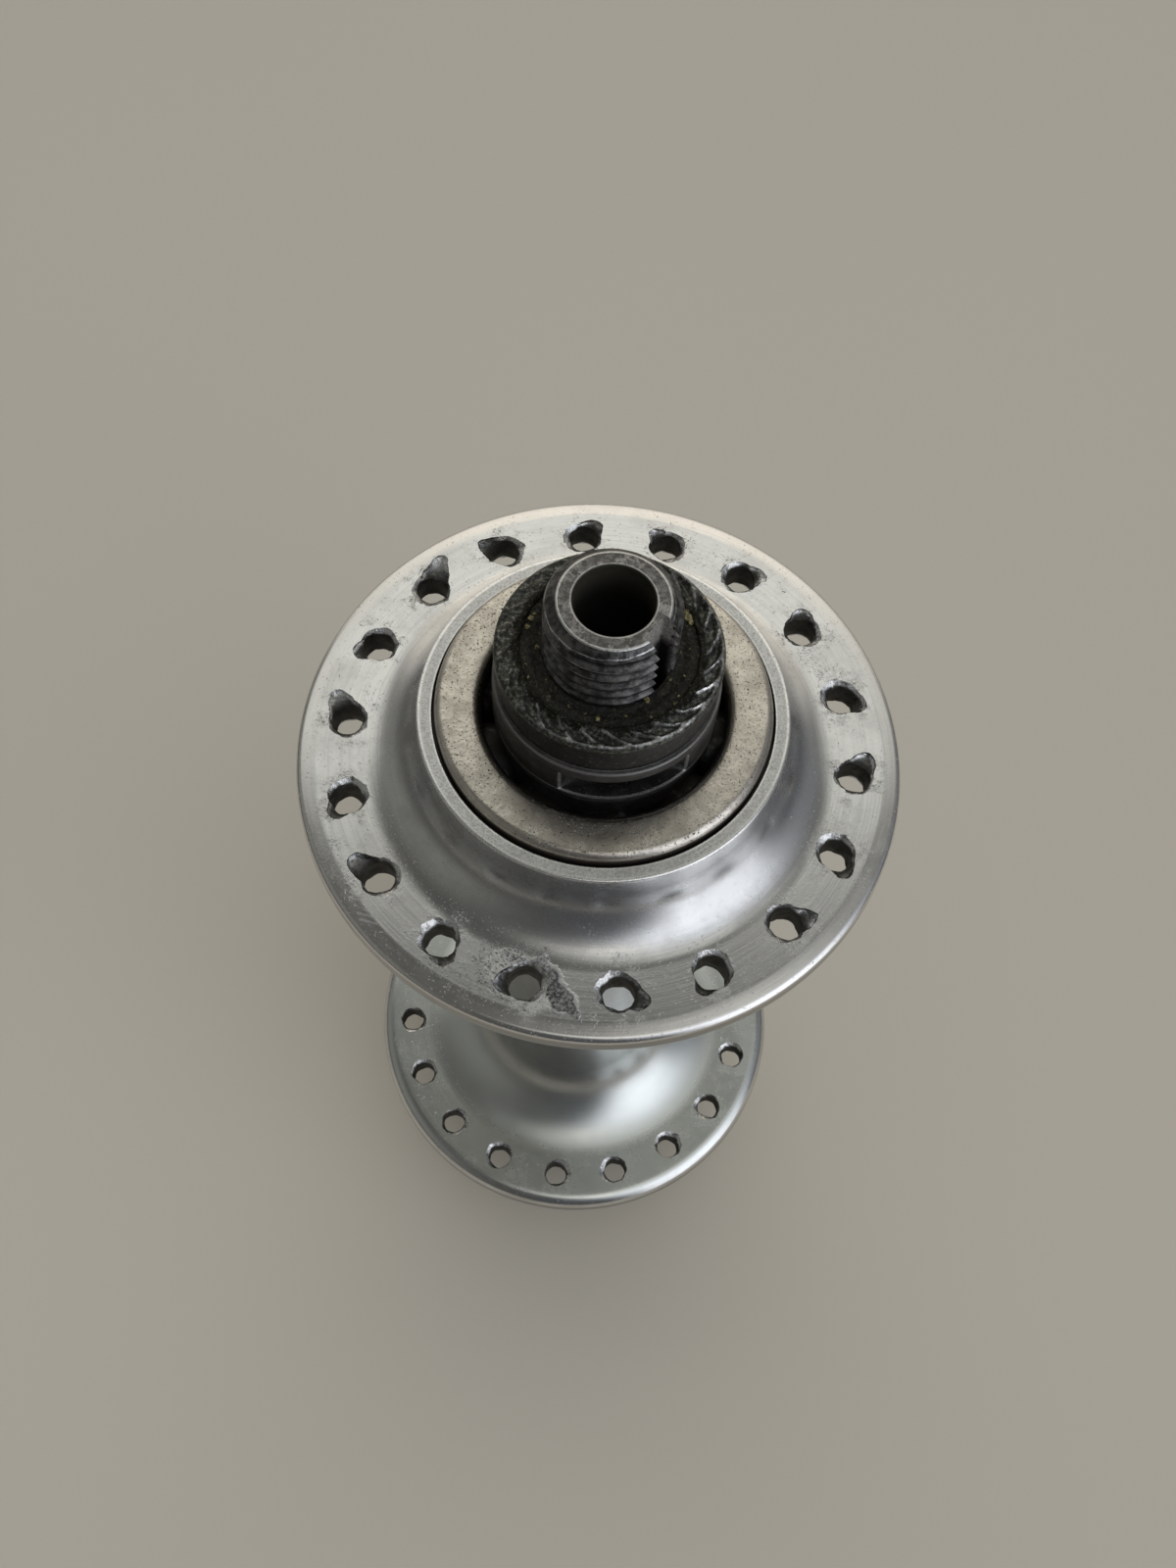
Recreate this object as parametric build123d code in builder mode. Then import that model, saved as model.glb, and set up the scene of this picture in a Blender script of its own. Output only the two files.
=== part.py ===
"""Bicycle front hub, quick-release kind, standing on its axle.

Millimetres. The origin is the middle of the hub, +Z runs up the axle, and -Y is the side
that faces the viewer. Both ends are alike: each end piece is made for the upper end, and the
lower one is a copy of it, turned over or mirrored about the middle plane.
"""
from build123d import *
from math import cos, radians, sin
import os

# Sizes that the whole hub follows
OVER_LOCKNUTS = 100.0
AXLE_LENGTH = 110.8
FLANGE_SPACING = 68.2
FLANGE_OD = 45.5
FLANGE_THICKNESS = 2.9

# Spoke holes
SPOKE_CIRCLE_D = 38.3
SPOKE_HOLES = 18
SPOKE_HOLE_D = 2.4
SPOKE_HOLE_MOUTH_D = 3.0
MOUTH_TAPER = 45.0
SPOKE_ANGLE_UPPER = -1.2
SPOKE_ANGLE_LOWER = 8.8

# Shell
BARREL_R = 8.0
BARREL_BORE_R = 6.0
FLARE_R = 8.3
FLARE_END_R = 17.3
FLARE_SWEEP = 84.0
BOSS_TOP_Z = 41.5
BOSS_R = 13.35
BOSS_FOOT_R = 13.5
BOSS_FILLET_R = 4.2
BOSS_EDGE = 0.15
MOUTH_R = 12.35
MOUTH_DEPTH = 0.9

# Ball bearing, one row at each end
BALL_D = 5.556
BALLS = 9
BALL_CIRCLE_R = 8.4
BALL_Z = 37.2
RACE_R = 3.0
RACE_CLEARANCE = 0.03
CONTACT_ANGLE = 45.0
CUP_R = 11.95
CUP_FLOOR_Z = 33.2
CUP_TOP_Z = 39.5
CUP_RACE_END = -100.0

# Dust cap, pressed from sheet
CAP_R = 12.05
CAP_SHEET = 0.7
CAP_FOOT_Z = 39.6
CAP_FACE_Z = 42.45
CAP_SHOULDER_R = 1.1
CAP_HOLE_R = 8.75
CAP_LIP_Z = 41.1

# Cone
CONE_NOSE_Z = 35.6
CONE_NOSE_R = 5.1
CONE_RACE_START = 190.0
CONE_RACE_END = 112.0
CONE_HEAD_R = 7.9
CONE_HEAD_Z = 42.4
CONE_TOP_Z = 45.5
CONE_SHOULDER = 0.35
CONE_FLATS = 13.0
CONE_FLATS_Z = 43.1
CONE_FLAT_ANGLE = -75.0

# Keyed washer and locknut
WASHER_R = 7.85
WASHER_TOP_Z = 46.5
WASHER_HOLE_R = 4.6
WASHER_TAB_ROOT = 1.0
NUT_R = 7.55
NUT_DISC_R = 7.7
NUT_DISC_Z = 48.7
NUT_BEVEL = 0.4
NUT_RECESS_R = 6.1
NUT_RECESS_DEPTH = 0.8
NUT_THREAD_CHAMFER = 0.5
NUT_FLATS = 14.0
NUT_FLAT_ANGLE = 5.0
SERRATIONS = 24
SERRATION_DEPTH = 0.35
SERRATION_SLANT = 45.0

# Axle: the screw thread is plain, at its crest where it is bare and at its pitch under the nuts
AXLE_R = 4.5
AXLE_PITCH_R = 4.175
AXLE_BORE_R = 2.65
AXLE_END_R = 3.66
AXLE_END_CHAMFER_H = 0.8
KEYWAY_WIDTH = 2.1
KEYWAY_FLOOR_R = 3.1
KEYWAY_ANGLE = -32.0
KEYWAY_END_Z = 36.0
KEY_PLAY = 0.05

# Worked out from the sizes above
NUT_TOP_Z = OVER_LOCKNUTS / 2
AXLE_END_Z = AXLE_LENGTH / 2
RIM_R = FLANGE_THICKNESS / 2
RIM_CENTRE_R = FLANGE_OD / 2 - RIM_R
FLANGE_Z = FLANGE_SPACING / 2
FLANGE_OUTER_Z = FLANGE_Z + RIM_R
FLANGE_INNER_Z = FLANGE_Z - RIM_R
HOLE_MOUTH_DEPTH = (SPOKE_HOLE_MOUTH_D - SPOKE_HOLE_D) / 2
BALL_R = BALL_D / 2
RACE_OFFSET = RACE_R - BALL_R - RACE_CLEARANCE
RACE_SHIFT_R = RACE_OFFSET * cos(radians(CONTACT_ANGLE))
RACE_SHIFT_Z = RACE_OFFSET * sin(radians(CONTACT_ANGLE))
CUT_LENGTH = 30.0
OTHER_END = (180, 0, 0)

os.makedirs("parts", exist_ok=True)


def on_circle(centre, radius, angle):
    """Point at an angle in degrees on a circle of the profile plane."""
    return (centre[0] + radius * cos(radians(angle)), centre[1] + radius * sin(radians(angle)))


# Hub shell: the upper half is turned from one profile and mirrored
flare_centre = (FLARE_END_R, FLANGE_INNER_Z - FLARE_R)
flare_foot = on_circle(flare_centre, FLARE_R, 90 + FLARE_SWEEP)
barrel_tilt = 90 - FLARE_SWEEP
barrel_arc_r = (flare_foot[0] - BARREL_R) / (1 - cos(radians(barrel_tilt)))
barrel_arc_z = flare_foot[1] - barrel_arc_r * sin(radians(barrel_tilt))
foot_centre = (BOSS_FOOT_R + BOSS_FILLET_R, FLANGE_OUTER_Z + BOSS_FILLET_R)

with BuildPart() as hub_shell:
    with BuildSketch(Plane.XZ):
        with BuildLine():
            Polyline((BARREL_R, barrel_arc_z), (BARREL_R, 0), (BARREL_BORE_R, 0),
                     (BARREL_BORE_R, CUP_FLOOR_Z), (CUP_R, CUP_FLOOR_Z), (CUP_R, CAP_FOOT_Z),
                     (CAP_R, CAP_FOOT_Z), (CAP_R, BOSS_TOP_Z - MOUTH_DEPTH),
                     (MOUTH_R, BOSS_TOP_Z - MOUTH_DEPTH), (MOUTH_R, BOSS_TOP_Z - BOSS_EDGE),
                     (MOUTH_R + BOSS_EDGE, BOSS_TOP_Z), (BOSS_R - BOSS_EDGE, BOSS_TOP_Z),
                     (BOSS_R, BOSS_TOP_Z - BOSS_EDGE), (BOSS_FOOT_R, foot_centre[1]))
            CenterArc(foot_centre, BOSS_FILLET_R, 180, 90)
            Line((foot_centre[0], FLANGE_OUTER_Z), (RIM_CENTRE_R, FLANGE_OUTER_Z))
            CenterArc((RIM_CENTRE_R, FLANGE_Z), RIM_R, -90, 180)
            Line((RIM_CENTRE_R, FLANGE_INNER_Z), (FLARE_END_R, FLANGE_INNER_Z))
            CenterArc(flare_centre, FLARE_R, 90, FLARE_SWEEP)
            CenterArc((BARREL_R + barrel_arc_r, barrel_arc_z), barrel_arc_r, 180 - barrel_tilt, barrel_tilt)
        make_face()
    revolve(axis=Axis.Z)
    mirror(about=Plane.XY)
    for middle_z, first_angle in ((FLANGE_Z, SPOKE_ANGLE_UPPER), (-FLANGE_Z, SPOKE_ANGLE_LOWER)):
        with BuildSketch(Plane.XY.offset(middle_z)):
            with PolarLocations(SPOKE_CIRCLE_D / 2, SPOKE_HOLES, first_angle):
                Circle(SPOKE_HOLE_D / 2)
        extrude(amount=FLANGE_THICKNESS, both=True, mode=Mode.SUBTRACT)
        for face_z, depth in ((middle_z - RIM_R, HOLE_MOUTH_DEPTH), (middle_z + RIM_R, -HOLE_MOUTH_DEPTH)):
            with BuildSketch(Plane.XY.offset(face_z)):
                with PolarLocations(SPOKE_CIRCLE_D / 2, SPOKE_HOLES, first_angle):
                    Circle(SPOKE_HOLE_MOUTH_D / 2)
            extrude(amount=depth, taper=MOUTH_TAPER, mode=Mode.SUBTRACT)
hub_shell.part.label = "hub_shell"
export_step(hub_shell.part, "parts/hub_shell.step")


# Bearing cups: pressed races with the balls' track outside and below the row
cup_centre = (BALL_CIRCLE_R - RACE_SHIFT_R, BALL_Z + RACE_SHIFT_Z)
cup_inner = on_circle(cup_centre, RACE_R, CUP_RACE_END)

with BuildPart() as bearing_cup_upper:
    with BuildSketch(Plane.XZ):
        with BuildLine():
            Polyline((cup_centre[0] + RACE_R, cup_centre[1]), (cup_centre[0] + RACE_R, CUP_TOP_Z),
                     (CUP_R, CUP_TOP_Z), (CUP_R, CUP_FLOOR_Z), (cup_inner[0], CUP_FLOOR_Z), cup_inner)
            CenterArc(cup_centre, RACE_R, CUP_RACE_END, -CUP_RACE_END)
        make_face()
    revolve(axis=Axis.Z)
bearing_cup_upper.part.label = "bearing_cup_upper"
export_step(bearing_cup_upper.part, "parts/bearing_cup_upper.step")

with BuildPart() as bearing_cup_lower:
    mirror(bearing_cup_upper.part, about=Plane.XY)
bearing_cup_lower.part.label = "bearing_cup_lower"
export_step(bearing_cup_lower.part, "parts/bearing_cup_lower.step")


# Bearing balls: each one a piece of its own
for end, side in (("upper", 1), ("lower", -1)):
    for number in range(BALLS):
        angle = 360 / BALLS * number
        with BuildPart() as ball:
            with Locations((BALL_CIRCLE_R * cos(radians(angle)), BALL_CIRCLE_R * sin(radians(angle)),
                            side * BALL_Z)):
                Sphere(BALL_R)
        ball.part.label = f"ball_{end}_{number + 1}"
        export_step(ball.part, f"parts/ball_{end}_{number + 1}.step")


# Dust caps: a skirt in the boss, a rounded shoulder, and a hole rolled down round the cone
cap_inner_hole_r = CAP_HOLE_R + CAP_SHEET
cap_shoulder_z = CAP_FACE_Z - CAP_SHOULDER_R
cap_shoulder_r = CAP_R - CAP_SHOULDER_R

with BuildPart() as dust_cap_upper:
    with BuildSketch(Plane.XZ):
        with BuildLine():
            Line((CAP_R, CAP_FOOT_Z), (CAP_R, cap_shoulder_z))
            CenterArc((cap_shoulder_r, cap_shoulder_z), CAP_SHOULDER_R, 0, 90)
            Line((cap_shoulder_r, CAP_FACE_Z), (cap_inner_hole_r, CAP_FACE_Z))
            CenterArc((cap_inner_hole_r, CAP_FACE_Z - CAP_SHEET), CAP_SHEET, 90, 90)
            Polyline((CAP_HOLE_R, CAP_FACE_Z - CAP_SHEET), (CAP_HOLE_R, CAP_LIP_Z),
                     (cap_inner_hole_r, CAP_LIP_Z), (cap_inner_hole_r, CAP_FACE_Z - CAP_SHEET),
                     (cap_shoulder_r, CAP_FACE_Z - CAP_SHEET))
            CenterArc((cap_shoulder_r, cap_shoulder_z), CAP_SHOULDER_R - CAP_SHEET, 90, -90)
            Polyline((CAP_R - CAP_SHEET, cap_shoulder_z), (CAP_R - CAP_SHEET, CAP_FOOT_Z),
                     (CAP_R, CAP_FOOT_Z))
        make_face()
    revolve(axis=Axis.Z)
dust_cap_upper.part.label = "dust_cap_upper"
export_step(dust_cap_upper.part, "parts/dust_cap_upper.step")

with BuildPart() as dust_cap_lower:
    mirror(dust_cap_upper.part, about=Plane.XY)
dust_cap_lower.part.label = "dust_cap_lower"
export_step(dust_cap_lower.part, "parts/dust_cap_lower.step")


# Cones: the balls' track on the nose, a neck through the dust cap, spanner flats on the head
cone_centre = (BALL_CIRCLE_R + RACE_SHIFT_R, BALL_Z - RACE_SHIFT_Z)
cone_track_low = on_circle(cone_centre, RACE_R, CONE_RACE_START)
cone_track_high = on_circle(cone_centre, RACE_R, CONE_RACE_END)

with BuildPart() as cone_upper:
    with BuildSketch(Plane.XZ):
        with BuildLine():
            CenterArc(cone_centre, RACE_R, CONE_RACE_START, CONE_RACE_END - CONE_RACE_START)
            Polyline(cone_track_high, (cone_track_high[0], CONE_HEAD_Z - CONE_SHOULDER),
                     (CONE_HEAD_R, CONE_HEAD_Z), (CONE_HEAD_R, CONE_TOP_Z),
                     (AXLE_PITCH_R, CONE_TOP_Z), (AXLE_PITCH_R, CONE_NOSE_Z),
                     (CONE_NOSE_R, CONE_NOSE_Z), cone_track_low)
        make_face()
    revolve(axis=Axis.Z)
    flat_gap = CONE_HEAD_R - CONE_FLATS / 2
    with BuildSketch(Plane.XY.offset(CONE_FLATS_Z)):
        with PolarLocations(CONE_FLATS / 2 + flat_gap, 2, CONE_FLAT_ANGLE):
            Rectangle(2 * flat_gap, CUT_LENGTH)
    extrude(amount=CONE_TOP_Z - CONE_FLATS_Z, mode=Mode.SUBTRACT)
cone_upper.part.label = "cone_upper"
export_step(cone_upper.part, "parts/cone_upper.step")

with BuildPart() as cone_lower:
    add(cone_upper.part, rotation=OTHER_END)
cone_lower.part.label = "cone_lower"
export_step(cone_lower.part, "parts/cone_lower.step")


# Keyed washers: a ring whose tab slides in the axle's keyway
with BuildPart() as keyed_washer_upper:
    with BuildSketch(Plane.XY.offset(CONE_TOP_Z)):
        Circle(WASHER_R)
        Circle(WASHER_HOLE_R, mode=Mode.SUBTRACT)
        tab_length = AXLE_R + WASHER_TAB_ROOT - KEYWAY_FLOOR_R - KEY_PLAY
        with PolarLocations(KEYWAY_FLOOR_R + KEY_PLAY + tab_length / 2, 1, KEYWAY_ANGLE):
            Rectangle(tab_length, KEYWAY_WIDTH - 2 * KEY_PLAY)
    extrude(amount=WASHER_TOP_Z - CONE_TOP_Z)
keyed_washer_upper.part.label = "keyed_washer_upper"
export_step(keyed_washer_upper.part, "parts/keyed_washer_upper.step")

with BuildPart() as keyed_washer_lower:
    mirror(keyed_washer_upper.part, about=Plane.XY)
keyed_washer_lower.part.label = "keyed_washer_lower"
export_step(keyed_washer_lower.part, "parts/keyed_washer_lower.step")


# Locknuts: a round body with two flats under a disc whose face bites the fork end
recess_floor_z = NUT_TOP_Z - NUT_RECESS_DEPTH
recess_wall = NUT_RECESS_DEPTH / 2

with BuildPart() as locknut_upper:
    with BuildSketch(Plane.XZ):
        with BuildLine():
            Polyline((AXLE_PITCH_R, WASHER_TOP_Z), (NUT_R, WASHER_TOP_Z), (NUT_R, NUT_DISC_Z),
                     (NUT_DISC_R, NUT_DISC_Z), (NUT_DISC_R, NUT_TOP_Z - NUT_BEVEL),
                     (NUT_DISC_R - NUT_BEVEL, NUT_TOP_Z), (NUT_RECESS_R, NUT_TOP_Z),
                     (NUT_RECESS_R - recess_wall, recess_floor_z),
                     (AXLE_R + NUT_THREAD_CHAMFER, recess_floor_z),
                     (AXLE_PITCH_R, recess_floor_z - NUT_THREAD_CHAMFER), close=True)
        make_face()
    revolve(axis=Axis.Z)
    flat_gap = NUT_R - NUT_FLATS / 2
    with BuildSketch(Plane.XY.offset(WASHER_TOP_Z)):
        with PolarLocations(NUT_FLATS / 2 + flat_gap, 2, NUT_FLAT_ANGLE):
            Rectangle(2 * flat_gap, CUT_LENGTH)
    extrude(amount=NUT_DISC_Z - WASHER_TOP_Z, mode=Mode.SUBTRACT)
    face_middle_r = (NUT_RECESS_R + NUT_DISC_R) / 2
    with PolarLocations(face_middle_r, SERRATIONS):
        with Locations(Location((0, 0, NUT_TOP_Z), (0, 0, SERRATION_SLANT))):
            Box(2 * (NUT_DISC_R - NUT_RECESS_R), SERRATION_DEPTH, SERRATION_DEPTH, rotation=(45, 0, 0),
                mode=Mode.SUBTRACT)
locknut_upper.part.label = "locknut_upper"
export_step(locknut_upper.part, "parts/locknut_upper.step")

with BuildPart() as locknut_lower:
    add(locknut_upper.part, rotation=OTHER_END)
locknut_lower.part.label = "locknut_lower"
export_step(locknut_lower.part, "parts/locknut_lower.step")


# Axle: hollow, with bare thread past each locknut and a keyway at each end
with BuildPart() as axle:
    with BuildSketch(Plane.XZ):
        with BuildLine():
            Polyline((AXLE_BORE_R, 0), (AXLE_PITCH_R, 0), (AXLE_PITCH_R, NUT_TOP_Z), (AXLE_R, NUT_TOP_Z),
                     (AXLE_R, AXLE_END_Z - AXLE_END_CHAMFER_H), (AXLE_END_R, AXLE_END_Z),
                     (AXLE_BORE_R, AXLE_END_Z), close=True)
        make_face()
    revolve(axis=Axis.Z)
    keyway_depth = AXLE_R - KEYWAY_FLOOR_R
    with BuildSketch(Plane.XY.offset(KEYWAY_END_Z)):
        with PolarLocations(KEYWAY_FLOOR_R + keyway_depth, 1, KEYWAY_ANGLE):
            Rectangle(2 * keyway_depth, KEYWAY_WIDTH)
    extrude(amount=AXLE_END_Z - KEYWAY_END_Z, mode=Mode.SUBTRACT)
    mirror(about=Plane.XY)
axle.part.label = "axle"
export_step(axle.part, "parts/axle.step")
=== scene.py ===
"""Looks of a used bicycle front hub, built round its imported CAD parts.

The scene is in metres, in the CAD parts' own frame: +Z runs up the axle and -Y faces the viewer.
Sizes are written in millimetres. Outlines are lists of (radius, height) in millimetres, which
geometry nodes turn about the axle, and materials read Object coordinates in millimetres.
"""

import math

import bmesh
import bpy
from mathutils import Matrix, Vector


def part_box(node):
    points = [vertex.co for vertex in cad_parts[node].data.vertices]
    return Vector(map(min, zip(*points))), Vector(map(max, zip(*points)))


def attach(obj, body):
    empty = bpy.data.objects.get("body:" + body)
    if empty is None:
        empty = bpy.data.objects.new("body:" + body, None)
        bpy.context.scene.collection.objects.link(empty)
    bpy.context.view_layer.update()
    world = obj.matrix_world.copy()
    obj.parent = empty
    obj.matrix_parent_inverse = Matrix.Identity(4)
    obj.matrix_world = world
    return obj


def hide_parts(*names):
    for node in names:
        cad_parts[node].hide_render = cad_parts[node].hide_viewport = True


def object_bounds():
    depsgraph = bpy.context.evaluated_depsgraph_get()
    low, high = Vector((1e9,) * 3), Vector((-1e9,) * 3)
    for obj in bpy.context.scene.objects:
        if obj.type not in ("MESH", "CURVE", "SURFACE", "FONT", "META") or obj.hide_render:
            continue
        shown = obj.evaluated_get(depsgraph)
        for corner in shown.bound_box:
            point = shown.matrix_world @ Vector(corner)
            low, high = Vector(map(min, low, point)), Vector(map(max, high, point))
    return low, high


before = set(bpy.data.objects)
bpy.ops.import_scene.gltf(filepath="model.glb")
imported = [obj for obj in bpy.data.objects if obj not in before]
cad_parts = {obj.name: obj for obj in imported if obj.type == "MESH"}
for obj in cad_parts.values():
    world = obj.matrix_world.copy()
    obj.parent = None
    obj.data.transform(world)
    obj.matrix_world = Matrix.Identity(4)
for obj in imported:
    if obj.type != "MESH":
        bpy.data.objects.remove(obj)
cad_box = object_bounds()

MM = 0.001


def reach(node):
    """How far a CAD node reaches from the axle, in millimetres."""
    low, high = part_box(node)
    return min(-low.x, high.x, -low.y, high.y) / MM


def top(node):
    """Height of a CAD node's highest point, in millimetres."""
    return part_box(node)[1].z / MM


def foot(node):
    """Height of a CAD node's lowest point, in millimetres."""
    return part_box(node)[0].z / MM


# Shell
FLANGE_R = reach("hub_shell")
BOSS_TOP = top("hub_shell")
FLANGE_Z = 34.1
FLANGE_THICKNESS = 2.9
RIM_R = FLANGE_THICKNESS / 2
RIM_CORNER_R = 0.55
RIM_CROWN_R = 21.3
RIM_CROWN_SLOPE = 6.0
FLANGE_OUTER_Z = FLANGE_Z + RIM_R
FLANGE_INNER_Z = FLANGE_Z - RIM_R
INNER_FACE_ROWS = (17.45, 20.95)
OUTER_FACE_ROWS = (21.15, 17.85)
BARREL_R = 8.0
BARREL_BORE_R = 6.0
FLARE_R = 8.3
FLARE_END_R = 17.3
FLARE_SWEEP = 84.0
BOSS_R = 13.35
BOSS_FOOT_R = 13.5
BOSS_FILLET_R = 4.2
MOUTH_R = 12.25
MOUTH_DEPTH = 0.9
# Heights of the shell's mouth wall that are painted nearly black as shade in the gap round the dust cap
MOUTH_SHADE_Z = (39.0, 39.6)
CUP_R = 11.95
CUP_FLOOR_Z = 33.2

# Spoke holes and the grooves that the spokes wore beside them
SPOKE_CIRCLE_R = 19.15
SPOKE_HOLES = 18
HOLE_R = 1.2
HOLE_MOUTH = 0.3
UPPER_TURN = -1.2
LOWER_TURN = 8.8
GROOVE_R = 1.22
GROOVE_AIMS = (60, -40, 54, -49, 53, -44, 49, -56, 49, -58, 45, -67, 53, -72, 67, -49, 61, -45)
GROOVE_REACHES = (2.3, 2.0, 2.0, 2.1, 1.85, 1.95, 2.15, 3.35, 2.1,
                  2.7, 1.95, 2.7, 2.1, 2.1, 2.3, 1.95, 2.3, 2.05)

# Streaks on the upper flange's face: start, end and the width at each; a smudge's strength comes last
EATEN_STREAKS = (((-2.6, -17.6), (-0.9, -19.9), 0.8, 0.9), ((-1.0, -19.8), (0.1, -20.9), 0.75, 0.3))
CHEWED_STREAK = ((-4.6, -18.2), (-2.9, -19.4), 1.9, 1.8)
SMUDGES = (((-6.4, -17.4), (-5.3, -19.8), 1.3, 0.8, 0.9), ((-5.4, -16.9), (-2.4, -16.6), 0.7, 0.5, 0.8),
           ((-10.2, -17.9), (-7.2, -19.3), 0.9, 1.0, 0.8), ((-18.8, -10.4), (-18.0, -12.0), 1.2, 0.8, 0.6),
           ((-18.8, -5.2), (-18.2, -7.0), 0.9, 0.6, 0.5), ((11.2, -15.9), (13.6, -15.6), 0.9, 0.5, 0.45),
           ((15.2, 9.6), (16.6, 8.0), 0.9, 0.7, 0.4))
SCRATCHES = (((-16.3, -13.8), (-15.5, -14.2)), ((-16.2, -14.4), (-15.0, -14.9)),
             ((-15.9, -15.0), (-14.7, -15.2)), ((-15.7, -15.4), (-14.3, -15.7)))
SCRATCH_WIDTHS = (0.11, 0.05)

# Dust cap
CAP_R = reach("dust_cap_upper")
CAP_FACE_Z = top("dust_cap_upper")
CAP_FOOT_Z = foot("dust_cap_upper")
CAP_HOLE_R = 8.75
CAP_SHEET = 0.7
CAP_SHOULDER_R = 0.6
CAP_INNER_SHOULDER_R = 0.06
CAP_FACE_ROWS = (10.6, 9.9)
CAP_LIP_Z = 41.1

# Cone
CONE_R = reach("cone_upper")
CONE_TOP_Z = top("cone_upper")
CONE_NOSE_Z = foot("cone_upper")
CONE_NOSE_R = 5.1
CONE_RACE = ((5.16, 36.6), (5.6, 37.4), (6.3, 37.95))
CONE_HEAD_Z = 42.4
CONE_NECK_R = 7.41
CONE_NECK_Z = 38.3
CONE_FLATS = 13.0
CONE_FLATS_Z = 43.1
CONE_LIP_R = (7.68, 7.84)
CONE_FLAT_ANGLE = -75.0

# Keyed washer and locknut
WASHER_R = reach("keyed_washer_upper")
WASHER_TOP_Z = top("keyed_washer_upper")
NUT_R = 7.55
NUT_DISC_R = reach("locknut_upper")
NUT_DISC_Z = 48.7
NUT_TOP_Z = top("locknut_upper")
NUT_FLATS = 14.0
NUT_FLAT_ANGLE = 5.0
NUT_RECESS_R = 6.1
NUT_RECESS_DEPTH = 0.8
NUT_FACE_ROWS = 16
SERRATIONS = 24
STEPS_PER_SERRATION = 16
SERRATION_DEPTH = 0.46
SERRATION_SLANT = 9.0

# Ring of old grease, and crusts dried on it: place and size against a common speck
GREASE_R = NUT_RECESS_R - 0.05
GREASE_ROWS = 12
CRUSTS = ((5.09, 2.91, 2.5), (4.99, 3.33, 1.9), (5.25, 2.55, 1.5), (-5.6, 1.0, 1.3), (-5.4, 1.7, 1.5),
          (-4.77, -0.52, 1.1), (2.62, -3.49, 1.6), (2.75, -3.75, 1.2), (-0.37, -5.41, 1.2),
          (4.61, -3.79, 1.2))

# Axle
AXLE_END_Z = top("axle")
AXLE_R = 4.5
THREAD_PITCH = 1.0
THREAD_DEPTH = 0.55
THREAD_FOOT_Z = NUT_TOP_Z - 2.0
THREAD_ROWS_PER_TURN = 14
AXLE_BORE_R = 2.65
AXLE_END_R = 3.66
AXLE_CHAMFER_H = 0.8
KEYWAY_WIDTH = 2.1
KEYWAY_FLOOR_R = 3.1
KEYWAY_ANGLE = -32.0
KEYWAY_FOOT_Z = 36.0

# How finely the pieces are made
STEPS_ROUND = 256
THREAD_STEPS_ROUND = 144
GREASE_STEPS_ROUND = 160
EDGE_LEAD = 2.4
SHARP_ANGLE = 32.0

# A radius that lies past every piece, for a finish without a bright corner
NO_CORNER = 20.0


def maths_with(operation, swapped=False):
    """A Socket's method that does one kind of maths with another value."""
    def method(self, other):
        pair = (other, self) if swapped else (self, other)
        return self.tree.add("ShaderNodeMath", {"operation": operation}, pair)
    return method


class Socket:
    """A node's output, wrapped so that node maths reads as plain expressions."""

    def __init__(self, tree, socket):
        self.tree = tree
        self.socket = socket

    __add__ = __radd__ = maths_with("ADD")
    __sub__ = maths_with("SUBTRACT")
    __rsub__ = maths_with("SUBTRACT", swapped=True)
    __mul__ = __rmul__ = maths_with("MULTIPLY")
    __truediv__ = maths_with("DIVIDE")
    __pow__ = maths_with("POWER")
    modulo = maths_with("MODULO")
    at_least = maths_with("MAXIMUM")
    at_most = maths_with("MINIMUM")
    over = maths_with("GREATER_THAN")
    under = maths_with("LESS_THAN")
    angle_from = maths_with("ARCTAN2")

    def maths(self, operation):
        return self.tree.add("ShaderNodeMath", {"operation": operation}, (self,))

    def __abs__(self):
        return self.maths("ABSOLUTE")

    def step(self, low, high):
        """0 below low, 1 above high and smooth between; low may be the larger one."""
        return self.tree.add("ShaderNodeMapRange", {"interpolation_type": "SMOOTHSTEP"},
                             {"Value": self, "From Min": low, "From Max": high})

    def held(self):
        """Kept between 0 and 1."""
        return self.tree.add("ShaderNodeClamp", {}, {"Value": self})

    def parts(self):
        """The X, Y and Z of a vector."""
        return [self.tree.add("ShaderNodeSeparateXYZ", {}, (self,), out=axis) for axis in "XYZ"]


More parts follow.
